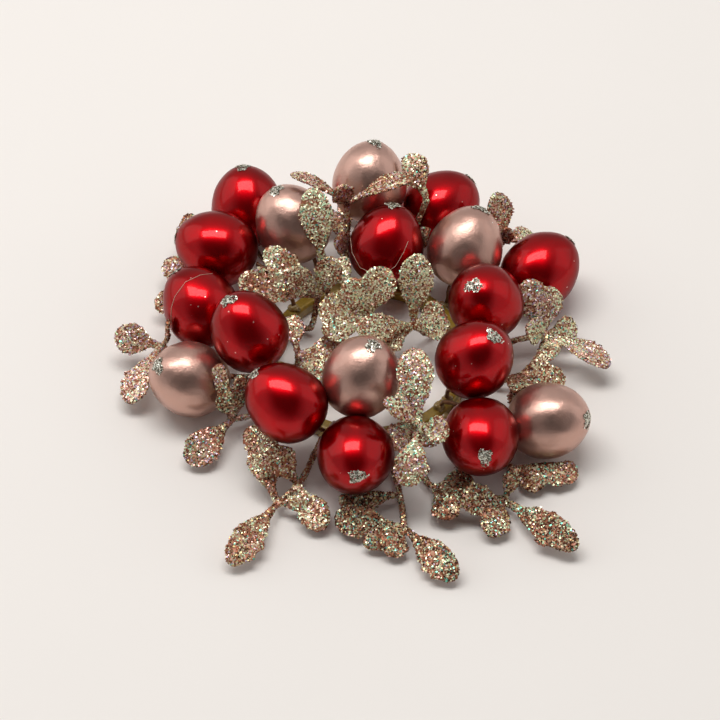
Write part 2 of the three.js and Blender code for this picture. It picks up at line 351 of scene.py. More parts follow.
def grain_group():
    """Two sizes of unevenness in a coat of paint, as a value and a surface normal."""
    group, given, result = new_group(
        "paint_grain",
        [
            ("Lumps per metre", "NodeSocketFloat", 400.0),
            ("Grains per metre", "NodeSocketFloat", 4000.0),
            ("Depth", "NodeSocketFloat", 0.2),
        ],
        [("Value", "NodeSocketFloat"), ("Normal", "NodeSocketVector")],
    )
    lumps = noise_value(group, given.outputs["Lumps per metre"])
    grains = noise_value(group, given.outputs["Grains per metre"], 1.0)
    both = math_node(group, "ADD", lumps, math_node(group, "MULTIPLY", grains, 0.5))
    value = math_node(group, "MULTIPLY", both, 0.66)
    bump = group.nodes.new("ShaderNodeBump")
    bump.inputs["Distance"].default_value = 0.1 * MM
    group.links.new(given.outputs["Depth"], bump.inputs["Strength"])
    group.links.new(value, bump.inputs["Height"])
    group.links.new(value, result.inputs["Value"])
    group.links.new(bump.outputs["Normal"], result.inputs["Normal"])
    return group


def glitter_group():
    """Grains of glitter as small flat cells, each with its own random chance and tilt."""
    group, given, result = new_group(
        "glitter_cells",
        [("Grains per metre", "NodeSocketFloat", 2200.0), ("Tilt", "NodeSocketFloat", 0.8)],
        [("Chance", "NodeSocketFloat"), ("Normal", "NodeSocketVector")],
    )
    cells = group.nodes.new("ShaderNodeTexVoronoi")
    group.links.new(object_position(group), cells.inputs["Vector"])
    group.links.new(given.outputs["Grains per metre"], cells.inputs["Scale"])
    parts = group.nodes.new("ShaderNodeSeparateColor")
    group.links.new(cells.outputs["Color"], parts.inputs[0])
    lean = group.nodes.new("ShaderNodeVectorMath")
    lean.operation = "SUBTRACT"
    group.links.new(cells.outputs["Color"], lean.inputs[0])
    lean.inputs[1].default_value = (0.5, 0.5, 0.5)
    scaled = group.nodes.new("ShaderNodeVectorMath")
    scaled.operation = "SCALE"
    group.links.new(lean.outputs[0], scaled.inputs[0])
    group.links.new(given.outputs["Tilt"], scaled.inputs["Scale"])
    surface = group.nodes.new("ShaderNodeNewGeometry")
    added = group.nodes.new("ShaderNodeVectorMath")
    group.links.new(surface.outputs["Normal"], added.inputs[0])
    group.links.new(scaled.outputs[0], added.inputs[1])
    unit = group.nodes.new("ShaderNodeVectorMath")
    unit.operation = "NORMALIZE"
    group.links.new(added.outputs[0], unit.inputs[0])
    group.links.new(parts.outputs[0], result.inputs["Chance"])
    group.links.new(unit.outputs[0], result.inputs["Normal"])
    return group


def place_group(tree, group, **values):
    node = tree.nodes.new("ShaderNodeGroup")
    node.node_tree = group
    for label, value in values.items():
        node.inputs[label.replace("_", " ")].default_value = value
    return node


def new_material(name, **values):
    """A material with a Principled BSDF whose plain numbers are set on its own sockets."""
    material = bpy.data.materials.new(name)
    material.use_nodes = True
    shader = material.node_tree.nodes["Principled BSDF"]
    for label, value in values.items():
        socket = shader.inputs[label.replace("_", " ")]
        socket.default_value = value if isinstance(value, float) else (*value, 1)
    return material, material.node_tree, shader


# ---------------------------------------------------------------- finishes


def red_lacquer(settings, groups):
    """Candy-red pearl paint under a clear gloss coat, with painted shade that darkens it towards the rims
    as the camera sees them, and with specks of dust in it.
    """
    material, tree, shader = new_material(
        "red_lacquer",
        Metallic=0.95,
        Specular_Tint=(0.6, 0.05, 0.06),
        Coat_Weight=0.5,
        Coat_Roughness=0.1,
        Coat_IOR=1.45,
    )
    red = Vector(settings.red)
    cloudy = noise_value(tree, 110.0, 2.0)
    shade = math_node(tree, "MULTIPLY", math_node(tree, "SUBTRACT", cloudy, 0.3), 2.2, True)
    colour = mix_colour(tree, shade, red * 0.6, red)
    # Painted shade: the red darkens towards the rims, where the surface turns away from the camera.
    rim_shade = tree.nodes.new("ShaderNodeLayerWeight")
    rim_shade.inputs["Blend"].default_value = 0.42
    colour = mix_colour(tree, rim_shade.outputs["Facing"], colour, red * 0.16)
    dust = place_group(tree, groups["dust"], Specks_per_metre=330.0, Dot_size=0.06, Share=0.6)
    colour = mix_colour(tree, dust.outputs["Mask"], colour, (0.8, 0.5, 0.45))
    tree.links.new(colour, shader.inputs["Base Color"])
    grain = place_group(
        tree, groups["grain"], Lumps_per_metre=140.0, Grains_per_metre=1500.0, Depth=0.04
    )
    rough = math_node(tree, "ADD", math_node(tree, "MULTIPLY", grain.outputs["Value"], 0.14), 0.26)
    tree.links.new(rough, shader.inputs["Roughness"])
    tree.links.new(grain.outputs["Normal"], shader.inputs["Normal"])
    return material


def rose_satin(settings, groups):
    """Satin rose-gold metallic paint, cloudy in places and finely pitted."""
    material, tree, shader = new_material(
        "rose_satin", Metallic=0.95, Coat_Weight=0.1, Coat_Roughness=0.25
    )
    rose = Vector(settings.rose)
    grain = place_group(
        tree, groups["grain"], Lumps_per_metre=420.0, Grains_per_metre=2400.0, Depth=1.0
    )
    cloudy = noise_value(tree, 90.0, 3.0)
    shade = math_node(tree, "MULTIPLY", math_node(tree, "SUBTRACT", cloudy, 0.35), 2.4, True)
    colour = mix_colour(tree, shade, Vector((rose.x * 0.78, rose.y * 0.7, rose.z * 0.68)), rose)
    fine = math_node(tree, "MULTIPLY", math_node(tree, "SUBTRACT", grain.outputs["Value"], 0.4), 1.6, True)
    colour = mix_colour(tree, fine, rose * 0.8, colour)
    dust = place_group(tree, groups["dust"], Specks_per_metre=260.0, Dot_size=0.05, Share=0.3)
    colour = mix_colour(tree, dust.outputs["Mask"], colour, (0.9, 0.84, 0.8))
    tree.links.new(colour, shader.inputs["Base Color"])
    rough = math_node(tree, "ADD", math_node(tree, "MULTIPLY", grain.outputs["Value"], 0.2), 0.26)
    tree.links.new(rough, shader.inputs["Roughness"])
    tree.links.new(grain.outputs["Normal"], shader.inputs["Normal"])
    return material


def glitter_coat(settings, groups):
    """Copper paint under fine glitter, seen between the larger grains that stand on it."""
    material, tree, shader = new_material("glitter_coat", Metallic=0.3, Roughness=0.4)
    cells = place_group(
        tree, groups["glitter"], Grains_per_metre=1 / settings.flake_width, Tilt=settings.tilt * 2
    )
    colours = [Vector(getattr(settings, kind)) for kind in GLITTER]
    ramp = tree.nodes.new("ShaderNodeValToRGB")
    ramp.color_ramp.interpolation = "CONSTANT"
    starts = {"shade": 0.0, "copper": 0.2, "pink": 0.52, "gold": 0.64, "cream": 0.74, "mint": 0.92}
    while len(ramp.color_ramp.elements) < len(starts):
        ramp.color_ramp.elements.new(1.0)
    for element, (kind, start) in zip(ramp.color_ramp.elements, starts.items()):
        element.position = start
        element.color = (*colours[GLITTER.index(kind)], 1)
    tree.links.new(cells.outputs["Chance"], ramp.inputs["Fac"])
    patches = noise_value(tree, 160.0, 2.0)
    strength = math_node(tree, "MULTIPLY", math_node(tree, "SUBTRACT", patches, 0.3), 2.2, True)
    colour = mix_colour(tree, strength, colours[GLITTER.index("copper")], ramp.outputs["Color"])
    tree.links.new(colour, shader.inputs["Base Color"])
    tree.links.new(cells.outputs["Normal"], shader.inputs["Normal"])
    return material


def plain_grain(name, colour, metallic, roughness):
    """One kind of glitter. A grain is too small to hold a pattern, so it is one metal tint."""
    return new_material(name, Base_Color=colour, Metallic=metallic, Roughness=roughness)[0]


def amber_plastic(settings, groups):
    """Olive-gold plastic, a little cloudy, with faint flow marks."""
    material, tree, shader = new_material(
        "amber_plastic", Metallic=0.15, Coat_Weight=0.4, Coat_Roughness=0.12
    )
    amber = Vector(settings.ring)
    grain = place_group(
        tree, groups["grain"], Lumps_per_metre=260.0, Grains_per_metre=1800.0, Depth=0.25
    )
    shade = math_node(tree, "MULTIPLY", math_node(tree, "SUBTRACT", grain.outputs["Value"], 0.3), 2.2, True)
    tree.links.new(mix_colour(tree, shade, amber * 0.5, amber * 1.15), shader.inputs["Base Color"])
    rough = math_node(tree, "ADD", math_node(tree, "MULTIPLY", grain.outputs["Value"], 0.25), 0.22)
    tree.links.new(rough, shader.inputs["Roughness"])
    tree.links.new(grain.outputs["Normal"], shader.inputs["Normal"])
    return material


def brown_wire(groups):
    material, tree, shader = new_material("brown_wire", Metallic=0.3)
    grain = place_group(tree, groups["grain"], Lumps_per_metre=700.0, Grains_per_metre=4200.0, Depth=0.5)
    colour = mix_colour(tree, grain.outputs["Value"], (0.04, 0.016, 0.008), (0.3, 0.13, 0.05))
    tree.links.new(colour, shader.inputs["Base Color"])
    rough = math_node(tree, "ADD", math_node(tree, "MULTIPLY", grain.outputs["Value"], 0.3), 0.3)
    tree.links.new(rough, shader.inputs["Roughness"])
    tree.links.new(grain.outputs["Normal"], shader.inputs["Normal"])
    return material


def cooled_glue(name, groups, dark, pale):
    """Cooled hot glue with cloudy swirls between these two colours."""
    material, tree, shader = new_material(name, Coat_Weight=0.5, Coat_Roughness=0.15)
    grain = place_group(tree, groups["grain"], Lumps_per_metre=600.0, Grains_per_metre=2400.0, Depth=0.2)
    colour = mix_colour(tree, grain.outputs["Value"], dark, pale)
    tree.links.new(colour, shader.inputs["Base Color"])
    rough = math_node(tree, "ADD", math_node(tree, "MULTIPLY", grain.outputs["Value"], 0.25), 0.15)
    tree.links.new(rough, shader.inputs["Roughness"])
    tree.links.new(grain.outputs["Normal"], shader.inputs["Normal"])
    return material


def paper_floor(colour):
    material, tree, shader = new_material("paper_floor", Roughness=0.85)
    mottle = noise_value(tree, 30.0, 3.0)
    shade = Vector(colour)
    tree.links.new(mix_colour(tree, mottle, shade * 0.985, shade), shader.inputs["Base Color"])
    return material


SHARED_GROUPS = {}


def shader_groups():
    """The shader groups that the finishes share, made once."""
    if not SHARED_GROUPS:
        SHARED_GROUPS.update(dust=dust_group(), grain=grain_group(), glitter=glitter_group())
    return SHARED_GROUPS


# ---------------------------------------------------------------- glitter grains


def grain_shape():
    """One grain of glitter one unit across: a flat square facing up, with its back drawn to a point."""
    deselect()
    bpy.ops.mesh.primitive_cone_add(vertices=4, radius1=0.0, radius2=0.62, depth=1.0)
    grain = bpy.context.object
    bpy.ops.object.mode_set(mode="EDIT")
    bpy.ops.mesh.select_all(action="SELECT")
    bpy.ops.mesh.quads_convert_to_tris()
    bpy.ops.object.mode_set(mode="OBJECT")
    points = mesh_points(grain)
    faces = [tuple(face.vertices) for face in grain.data.polygons]
    bpy.ops.object.delete()
    return points, np.array(faces)


def grains_piece(name, places, normals, kinds, grain_width, settings, seed):
    """One mesh with a grain of glitter at each place, leaning a little off the surface."""
    rng = np.random.default_rng(seed)
    points, faces = grain_shape()
    count = len(places)
    lean = normals + rng.normal(0, settings.tilt, (count, 3))
    up = lean / np.linalg.norm(lean, axis=1, keepdims=True)
    side = np.cross(up, rng.normal(0, 1, (count, 3)))
    side /= np.linalg.norm(side, axis=1, keepdims=True)
    across = np.cross(up, side)
    width = grain_width * rng.uniform(0.65, 1.2, (count, 1, 1))
    stretch = rng.uniform(0.75, 1.25, (count, 1, 1))
    local = points[None, :, :]
    body = (
        local[:, :, 0:1] * width * stretch * side[:, None, :]
        + local[:, :, 1:2] * width / stretch * across[:, None, :]
        + local[:, :, 2:3] * settings.flake_thickness * up[:, None, :]
    )
    vertices = (places[:, None, :] + body).reshape(-1, 3)
    first_points = len(points) * np.arange(count)[:, None, None]
    all_faces = (faces[None] + first_points).reshape(-1, faces.shape[1])
    mesh = bpy.data.meshes.new(name)
    mesh.from_pydata(vertices.tolist(), [], all_faces.tolist())
    mesh.polygons.foreach_set("material_index", np.repeat(kinds, len(faces)).astype(np.int32))
    mesh.update()
    piece = bpy.data.objects.new(name, mesh)
    bpy.context.scene.collection.objects.link(piece)
    return piece


def grains_finish(piece, name, materials):
    """Gives a piece of grains its materials, keeping each grain's own, and ties it to the frame."""
    piece.name = name
    for material in materials:
        piece.data.materials.append(material)
    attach(piece, "root")


def scattered(piece, per_square_metre, rng):
    """Random places all over a mesh, with the surface normal at each."""
    mesh = piece.data
    mesh.calc_loop_triangles()
    corners = np.empty(len(mesh.loop_triangles) * 3, dtype=np.int32)
    mesh.loop_triangles.foreach_get("vertices", corners)
    triangles = mesh_points(piece)[corners.reshape(-1, 3)]
    normals = np.cross(triangles[:, 1] - triangles[:, 0], triangles[:, 2] - triangles[:, 0])
    areas = np.linalg.norm(normals, axis=1) / 2
    count = int(areas.sum() * per_square_metre)
    chosen = rng.choice(len(areas), size=count, p=areas / areas.sum())
    one, two = rng.random(count), rng.random(count)
    over = one + two > 1
    one[over], two[over] = 1 - one[over], 1 - two[over]
    picked = triangles[chosen]
    places = picked[:, 0] + one[:, None] * (picked[:, 1] - picked[:, 0])
    places += two[:, None] * (picked[:, 2] - picked[:, 0])
    normals = normals[chosen] / (2 * areas[chosen])[:, None]
    return places, normals


def soft_noise(places, size, seed):
    """A smooth random number from 0 to 1 at each place, from waves of about this size."""
    rng = np.random.default_rng(seed)
    total = np.zeros(len(places))
    for _ in range(6):
        direction = rng.normal(0, 1, 3)
        direction /= np.linalg.norm(direction)
        wave = size * rng.uniform(0.7, 1.6)
        total += np.sin(places @ direction * 2 * np.pi / wave + rng.uniform(0, 2 * np.pi))
    return 1 / (1 + np.exp(-2 * total))


def nearby(places, points, cell, reach):
    """How many of the points are within this many cells of each place, each way."""
    low = points.min(axis=0) - (reach + 1) * cell
    shape = np.ceil((points.max(axis=0) - low) / cell).astype(int) + reach + 2
    grid = np.zeros(shape)
    np.add.at(grid, tuple(((points - low) / cell).astype(int).T), 1)
    for axis in range(3):
        grid = sum(np.roll(grid, step, axis) for step in range(-reach, reach + 1))
    return grid[tuple(((places - low) / cell).astype(int).T)]


# ---------------------------------------------------------------- berries


def berry_ends(node):
    """The blunt end of a berry, where its wire is, and its tip: its two furthest points."""
    points = node_points(node)
    gaps = np.linalg.norm(points[:, None, :] - points[None, :, :], axis=2)
    first, second = np.unravel_index(np.argmax(gaps), gaps.shape)
    wire = node_points(node.replace("_berry_", "_berry_wire_"))
    to_wire = [np.linalg.norm(wire - points[end], axis=1).min() for end in (first, second)]
    if to_wire[0] > to_wire[1]:
        first, second = second, first
    return Vector(points[first]), Vector(points[second])


def skin_name(node):
    return node.replace("_berry_", "_berry_skin_")


def make_berry(node, settings, material):
    blunt, tip = berry_ends(node)
    length = (tip - blunt).length
    deselect()
    bpy.ops.mesh.primitive_uv_sphere_add(segments=80, ring_count=40, radius=0.5)
    berry = bpy.context.object
    bpy.ops.object.mode_set(mode="EDIT")
    bpy.ops.mesh.select_all(action="SELECT")
    bpy.ops.transform.resize(value=(settings.berry_width, settings.berry_width, length))
    bpy.ops.object.mode_set(mode="OBJECT")
    apply_modifier(berry, "SIMPLE_DEFORM", deform_method="TAPER", deform_axis="Z", factor=-settings.taper)
    berry.rotation_mode = "QUATERNION"
    berry.rotation_quaternion = (tip - blunt).to_track_quat("Z", "Y")
    berry.location = (blunt + tip) / 2
    settle(berry)
    roughen(berry, 9 * MM, settings.unevenness)
    if node in ROSE_NODES:
        roughen(berry, 2.2 * MM, settings.unevenness * 0.32)
    smooth(berry)
    return finish(berry, skin_name(node), [material], node)


def make_tip_dab(node, settings, grains, materials, seed):
    """A ragged dab of silver glitter on a berry's tip."""
    rng = np.random.default_rng(seed)
    berry = bpy.data.objects[skin_name(node)]
    blunt, tip = berry_ends(node)
    axis = (tip - blunt).normalized()
    side = axis.orthogonal().normalized()
    across = axis.cross(side)
    waves = rng.uniform(0, 2 * np.pi, 3)
    wander = rng.uniform(-0.4, 0.4, 2) * settings.dab_width / 2
    places, normals, kinds = [], [], []
    for _ in range(settings.dab_grains):
        turn = rng.uniform(0, 2 * np.pi)
        edge = 0.72 + 0.16 * math.sin(2 * turn + waves[0]) + 0.14 * math.sin(3 * turn + waves[1])
        edge += 0.1 * math.sin(5 * turn + waves[2])
        reach = settings.dab_width / 2 * edge * math.sqrt(rng.random())
        start = tip + axis * 4 * MM
        start += side * (wander[0] + reach * math.cos(turn)) + across * (wander[1] + reach * math.sin(turn))
        hit, place, normal, _face = berry.ray_cast(start, -axis)
        if not hit:
            raise RuntimeError(f"the dab on {node} misses its berry")
        places.append(place + normal * rng.uniform(0.02, 0.22) * MM)
        normals.append(normal)
        kinds.append(rng.choice(len(materials), p=(0.4, 0.25, 0.35)))
    name = node.replace("_berry_", "_tip_glitter_")
    draws = (np.array(places), np.array(normals), np.array(kinds))
    piece = grains_piece(name, *draws, settings.dab_grain_width, grains, seed + 1)
    grains_finish(piece, name, materials)


# ---------------------------------------------------------------- sprigs


def make_sprig(node, material):
    """The moulded sprig: the frame's leaves and stem run together and softened."""
    sprig = node_copy(node)
    apply_modifier(sprig, "REMESH", mode="VOXEL", voxel_size=SPRIG_VOXEL)
    apply_modifier(sprig, "SMOOTH", factor=0.5, iterations=3)
    roughen(sprig, 2.6 * MM, 0.22 * MM)
    smooth(sprig)
    return finish(sprig, node.replace("sprig_", "sprig_body_"), [material], node)


def make_sprig_glitter(node, settings, materials, seed):
    rng = np.random.default_rng(seed)
    sprig = bpy.data.objects[node.replace("sprig_", "sprig_body_")]
    places, normals = scattered(sprig, settings.grains_per_mm2 / MM**2, rng)
    first, second = (np.array(TINTS[tint], dtype=float) for tint in SPRIG_TINTS[node])
    stem = np.array(TINTS["stem"], dtype=float)
    patch = soft_noise(places, settings.patch_width, seed)[:, None]
    weights = first * patch + second * (1 - patch)
    # Painted shade: grains on surfaces that face down take the darker stem tint, so the leaves are darker
    # underneath.
    underside_shade = np.clip(0.2 - normals[:, 2:3] * 1.4, 0, 1)
    surface = nearby(places, mesh_points(sprig), 1 * MM, 3) * SPRIG_VOXEL**2 / MM**2
    leaf = np.clip((surface - STEM_SURFACE) / (LEAF_SURFACE - STEM_SURFACE), 0, 1)[:, None]
    # Leaf grains that face up keep the sprig's tints. The rest take the stem tint, which is painted shade
    # under the leaves.
    coated = leaf * (1 - underside_shade)
    weights = weights * coated + stem * (1 - coated)
    ranges = np.cumsum(weights / weights.sum(axis=1, keepdims=True), axis=1)
    kinds = (rng.random((len(places), 1)) > ranges).sum(axis=1).clip(0, len(GLITTER) - 1)
    places = places + normals * rng.uniform(-0.02, 0.1, (len(places), 1)) * MM
    name = node.replace("sprig_", "sprig_glitter_")
    piece = grains_piece(name, places, normals, kinds, settings.flake_width, settings, seed + 1)
    grains_finish(piece, name, materials)


# ---------------------------------------------------------------- ring, wires and glue


def ring_size():
    points = node_points(RING_NODE)
    low, high = points.min(axis=0), points.max(axis=0)
    centre = Vector(((low[0] + high[0]) / 2, (low[1] + high[1]) / 2, 0))
    reach = np.hypot(points[:, 0] - centre.x, points[:, 1] - centre.y)
    return centre, reach.min(), reach.max(), low[2], high[2]


def make_ring(material):
    """A square is set beside the middle, its upper edges are rounded, and it is spun into a ring."""
    centre, inner, outer, bottom, top = ring_size()
    middle = (inner + outer) / 2
    deselect()
    bpy.ops.mesh.primitive_plane_add(
        size=1, location=(middle, 0, (bottom + top) / 2), rotation=(math.pi / 2, 0, 0)
    )
    ring = bpy.context.object
    ring.scale = (outer - inner, top - bottom, 1)
    settle(ring)
    for vertex in ring.data.vertices:
        vertex.select = vertex.co.z > (bottom + top) / 2
    bpy.ops.object.mode_set(mode="EDIT")
    bpy.ops.mesh.bevel(offset=RING_ROUNDING, segments=6, affect="VERTICES")
    bpy.ops.mesh.select_all(action="SELECT")
    bpy.ops.mesh.delete(type="ONLY_FACE")
    bpy.ops.mesh.select_all(action="SELECT")
    bpy.ops.mesh.spin(steps=144, angle=2 * math.pi, center=(0, 0, 0), axis=(0, 0, 1))
    bpy.ops.mesh.select_all(action="SELECT")
    bpy.ops.mesh.remove_doubles(threshold=0.005 * MM)
    bpy.ops.mesh.normals_make_consistent(inside=False)
    bpy.ops.object.mode_set(mode="OBJECT")
    ring.location = centre
    settle(ring)
    bpy.ops.object.shade_smooth_by_angle(angle=math.radians(40))
    return finish(ring, "gold_ring", [material], RING_NODE)


def make_wire(node, material):
    wire = node_copy(node)
    apply_modifier(wire, "REMESH", mode="VOXEL", voxel_size=WIRE_VOXEL)
    apply_modifier(wire, "SMOOTH", factor=0.5, iterations=3)
    roughen(wire, 1.2 * MM, 0.1 * MM)
    smooth(wire)
    return finish(wire, node.replace("_berry_wire_", "_wire_"), [material], node)


def ring_end(node):
    """The middle of the end of a wire or stem that meets the ring."""
    centre, inner, outer, _bottom, top = ring_size()
    points = node_points(node)
    reach = np.hypot(points[:, 0] - centre.x, points[:, 1] - centre.y)
    aside = np.maximum(np.maximum(inner - reach, reach - outer), 0)
    above = np.maximum(points[:, 2] - top, 0)
    gap = np.hypot(aside, above)
    near = points[gap < gap.min() + 0.25 * MM]
    return Vector(near.mean(axis=0))


def make_glue_blob(node, material, seed):
    """A lump of glue round the joint of a wire or stem and the ring."""
    rng = np.random.default_rng(seed)
    deselect()
    bpy.ops.mesh.primitive_ico_sphere_add(subdivisions=4, radius=GLUE_RADIUS, location=ring_end(node))
    blob = bpy.context.object
    blob.scale = (rng.uniform(0.9, 1.35), rng.uniform(0.9, 1.35), rng.uniform(0.8, 1.0))
    settle(blob)
    roughen(blob, 1.3 * MM, 0.9 * MM)
    smooth(blob)
    return finish(blob, "glue_" + node, [material])


def make_glue_string(node, path, material):
    """A hair of glue drawn out across a berry."""
    berry = bpy.data.objects[skin_name(node)]
    low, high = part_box(node)
    centre, half = (low + high) / 2, (high - low).length / 2 / math.sqrt(3)
    right = Vector((1, 0, 0))
    up = Vector((0, math.sin(VIEW_ELEVATION), math.cos(VIEW_ELEVATION)))
    near = Vector((0, -math.cos(VIEW_ELEVATION), math.sin(VIEW_ELEVATION)))
    curve = bpy.data.curves.new("glue_string_" + node, "CURVE")
    curve.dimensions = "3D"
    curve.bevel_depth = STRING_RADIUS
    curve.bevel_resolution = 2
    curve.use_fill_caps = True
    spline = curve.splines.new("POLY")
    steps = 8
    route = []
    for start, end in zip(path, path[1:]):
        for step in range(steps):
            share = step / steps
            route.append([a + (b - a) * share for a, b in zip(start, end)])
    route.append(path[-1])
    places = []
    for x, y in route:
        start = centre + right * (x * half) + up * (y * half) + near * 30 * MM
        hit, place, normal, _face = berry.ray_cast(start, -near)
        if hit:
            places.append(place + normal * 0.04 * MM)
    spline.points.add(len(places) - 1)
    for point, place in zip(spline.points, places):
        point.co = (*place, 1)
    string = bpy.data.objects.new(curve.name, curve)
    bpy.context.scene.collection.objects.link(string)
    activate(string)
    bpy.ops.object.convert(target="MESH")
    string = bpy.context.object
    smooth(string)
    return finish(string, "glue_string_" + node, [material])


# ---------------------------------------------------------------- settings


def colour_setting(name, text, default):
    return FloatVectorProperty(name=name, description=text, default=default, subtype="COLOR", min=0, max=1)


def length_setting(name, text, default):
    return FloatProperty(name=name, description=text, default=default, unit="LENGTH", subtype="DISTANCE")


class WreathBerries(bpy.types.PropertyGroup):
    red: colour_setting("Red", "Paint of the red berries", (0.62, 0.001, 0.006))
    rose: colour_setting("Rose", "Paint of the rose-gold berries", (0.74, 0.46, 0.38))
    berry_width: length_setting("Berry width", "Widest part of a berry", 18.2 * MM)
    taper: FloatProperty(
        name="Taper", description="How much the tip is slimmer than the blunt end", default=0.2
    )
    unevenness: length_setting("Unevenness", "Height of the soft lumps in a berry's skin", 0.55 * MM)
    dab_width: length_setting("Dab width", "Width of the glitter on a berry's tip", 5.0 * MM)
    dab_grain_width: length_setting("Dab grain width", "Width of a grain of glitter in a dab", 0.36 * MM)
    dab_grains: IntProperty(name="Dab grains", description="Grains of glitter in a dab", default=300)


class WreathGlitter(bpy.types.PropertyGroup):
    flake_width: length_setting("Grain width", "Width of a glitter grain", 0.44 * MM)
    flake_thickness: length_setting("Grain thickness", "Thickness of a glitter grain", 0.07 * MM)
    grains_per_mm2: FloatProperty(
        name="Grains per square millimetre", description="How thickly the sprigs are coated", default=6.5
    )
    tilt: FloatProperty(name="Tilt", description="How unevenly the grains lie", default=0.27)
    patch_width: length_setting("Patch width", "Width of a patch of one tint", 9.0 * MM)
    cream: colour_setting("Cream", "Palest glitter", (1.0, 0.96, 0.66))
    mint: colour_setting("Mint", "Pale green glitter", (0.76, 1.0, 0.64))
    aqua: colour_setting("Aqua", "Blue-green glitter", (0.2, 0.66, 0.5))
    lilac: colour_setting("Lilac", "Pale violet glitter", (0.66, 0.54, 0.68))
    pink: colour_setting("Pink", "Rose glitter", (0.88, 0.5, 0.42))
    gold: colour_setting("Gold", "Gold glitter", (0.82, 0.64, 0.3))
    copper: colour_setting("Copper", "Paint of the sprigs", (0.33, 0.11, 0.052))
    shade: colour_setting("Shade", "Dark brown glitter", (0.06, 0.022, 0.01))
    ring: colour_setting("Ring", "Plastic of the ring", (0.36, 0.23, 0.02))


class WreathStage(bpy.types.PropertyGroup):
    elevation: FloatProperty(
        name="Elevation",
        description="Angle that the camera looks down at",
        default=VIEW_ELEVATION,
        subtype="ANGLE",
    )
    frame_width: length_setting("Frame width", "Width of the camera's view at the wreath", 172.8 * MM)
    floor: colour_setting("Floor", "Colour of the paper floor", (0.86, 0.83, 0.8))
    overhead: FloatProperty(
        name="Overhead light", description="Power of the softbox above", default=7.6, unit="POWER"
    )
    sides: FloatProperty(
        name="Side light", description="Power of the panels at the sides", default=3.4, unit="POWER"
    )
    room: FloatProperty(name="Room light", description="Brightness of the room", default=0.5)


# ---------------------------------------------------------------- operators


class WREATH_OT_berries(bpy.types.Operator):
    """Models the red and rose berries over their frame solids"""

    bl_idname = "wreath.berries"
    bl_label = "Berries"

    def execute(self, context):
        settings, groups = context.scene.wreath_berries, shader_groups()
        red, rose = red_lacquer(settings, groups), rose_satin(settings, groups)
        for node in RED_NODES:
            make_berry(node, settings, red)
        for node in ROSE_NODES:
            make_berry(node, settings, rose)
        return {"FINISHED"}


class WREATH_OT_tip_glitter(bpy.types.Operator):
    """Sets a dab of silver glitter on the tip of each berry"""

    bl_idname = "wreath.tip_glitter"
    bl_label = "Tip glitter"

    def execute(self, context):
        settings, grains = context.scene.wreath_berries, context.scene.wreath_glitter
        materials = [
            plain_grain("grain_silver", (0.78, 0.76, 0.66), 1.0, 0.3),
            plain_grain("grain_white", (0.9, 0.9, 0.8), 0.4, 0.35),
            plain_grain("grain_steel", (0.13, 0.12, 0.08), 0.8, 0.3),
        ]
        for number, node in enumerate(RED_NODES + ROSE_NODES):
            make_tip_dab(node, settings, grains, materials, DAB_SEED + SEED_STEP * number)
        return {"FINISHED"}


class WREATH_OT_sprigs(bpy.types.Operator):
    """Models the moulded sprigs of leaves"""

    bl_idname = "wreath.sprigs"
    bl_label = "Sprigs"

    def execute(self, context):
        material = glitter_coat(context.scene.wreath_glitter, shader_groups())
        for node in SPRIG_NODES:
            make_sprig(node, material)
        return {"FINISHED"}


class WREATH_OT_sprig_glitter(bpy.types.Operator):
    """Coats the sprigs in coloured glitter"""

    bl_idname = "wreath.sprig_glitter"
    bl_label = "Sprig glitter"

    def execute(self, context):
        settings = context.scene.wreath_glitter
        materials = []
        for kind in GLITTER:
            roughness = 0.4 if kind in ("copper", "shade") else 0.25
            metallic = 0.35 if kind in ("cream", "mint", "lilac") else 0.6
            colour = tuple(getattr(settings, kind))
            materials.append(plain_grain("grain_" + kind, colour, metallic, roughness))
        for number, node in enumerate(SPRIG_NODES):
            make_sprig_glitter(node, settings, materials, GLITTER_SEED + SEED_STEP * number)
        return {"FINISHED"}


class WREATH_OT_ring(bpy.types.Operator):
    """Spins the gold ring that everything is fixed to"""

    bl_idname = "wreath.ring"
    bl_label = "Ring"

    def execute(self, context):
        make_ring(amber_plastic(context.scene.wreath_glitter, shader_groups()))
        return {"FINISHED"}


class WREATH_OT_wires(bpy.types.Operator):
    """Models the wires that hold the berries"""

    bl_idname = "wreath.wires"
    bl_label = "Wires"

    def execute(self, context):
        material = brown_wire(shader_groups())
        for node in WIRE_NODES:
            make_wire(node, material)
        return {"FINISHED"}


class WREATH_OT_glue(bpy.types.Operator):
    """Adds the glue at the ring's joints and the strings of glue on two berries"""

    bl_idname = "wreath.glue"
    bl_label = "Glue"

    def execute(self, context):
        groups = shader_groups()
        amber = cooled_glue("amber_glue", groups, (0.16, 0.09, 0.02), (0.46, 0.34, 0.14))
        milky = cooled_glue("milky_glue", groups, (0.4, 0.3, 0.2), (0.85, 0.68, 0.55))
        for number, node in enumerate(WIRE_NODES + SPRIG_NODES):
            make_glue_blob(node, amber, GLUE_SEED + number)
        for node, path in GLUE_STRINGS.items():
            make_glue_string(node, path, milky)
        return {"FINISHED"}


def add_panel_light(name, place, target, size, power, colour):
    light = bpy.data.lights.new(name, "AREA")
    light.shape = "RECTANGLE"
    light.size, light.size_y = size
    light.energy = power
    light.color = colour
    holder = bpy.data.objects.new(name, light)
    holder.location = place
    holder.rotation_euler = (Vector(target) - Vector(place)).to_track_quat("-Z", "Y").to_euler()
    bpy.context.scene.collection.objects.link(holder)


